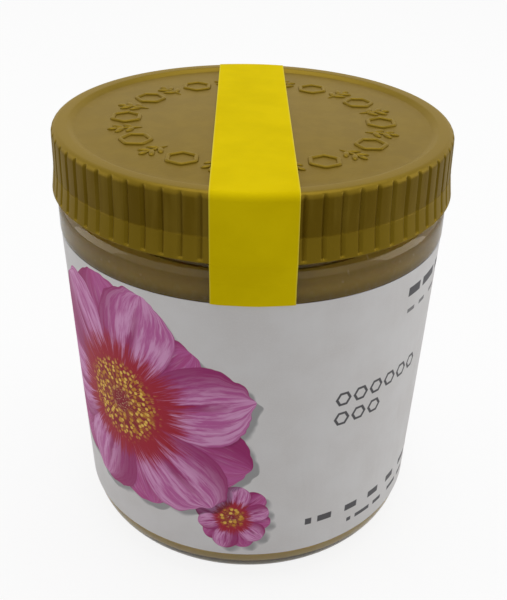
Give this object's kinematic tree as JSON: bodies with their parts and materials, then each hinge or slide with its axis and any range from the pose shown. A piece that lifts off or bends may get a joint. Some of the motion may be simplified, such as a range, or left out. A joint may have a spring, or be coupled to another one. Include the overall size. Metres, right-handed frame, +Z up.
{
  "type": "honey jar",
  "caption": "Filled honey jar: slightly flared glass, ribbed screw lid with a sunk panel, wrap-round paper label, and a paper seal strip bent over the lid.",
  "frame": {"origin": "centre of the base, on the surface the jar stands on", "axes": "+Z up along the jar's axis, -Y the front, where the seal strip comes down to the label"},
  "size_m": [0.0876, 0.088, 0.0983],
  "materials": {
    "clear_glass": "clear, smooth",
    "creamed_honey": "opaque, fine crystals",
    "lid_plastic": "satin, moulded",
    "label_paper": "matte, printed",
    "strip_paper": "matte, printed yellow"
  },
  "bodies": {
    "root": {"glass_jar": "clear_glass", "honey": "creamed_honey", "lid": "lid_plastic", "label": "label_paper", "seal_strip": "strip_paper"}
  },
  "joints": []
}
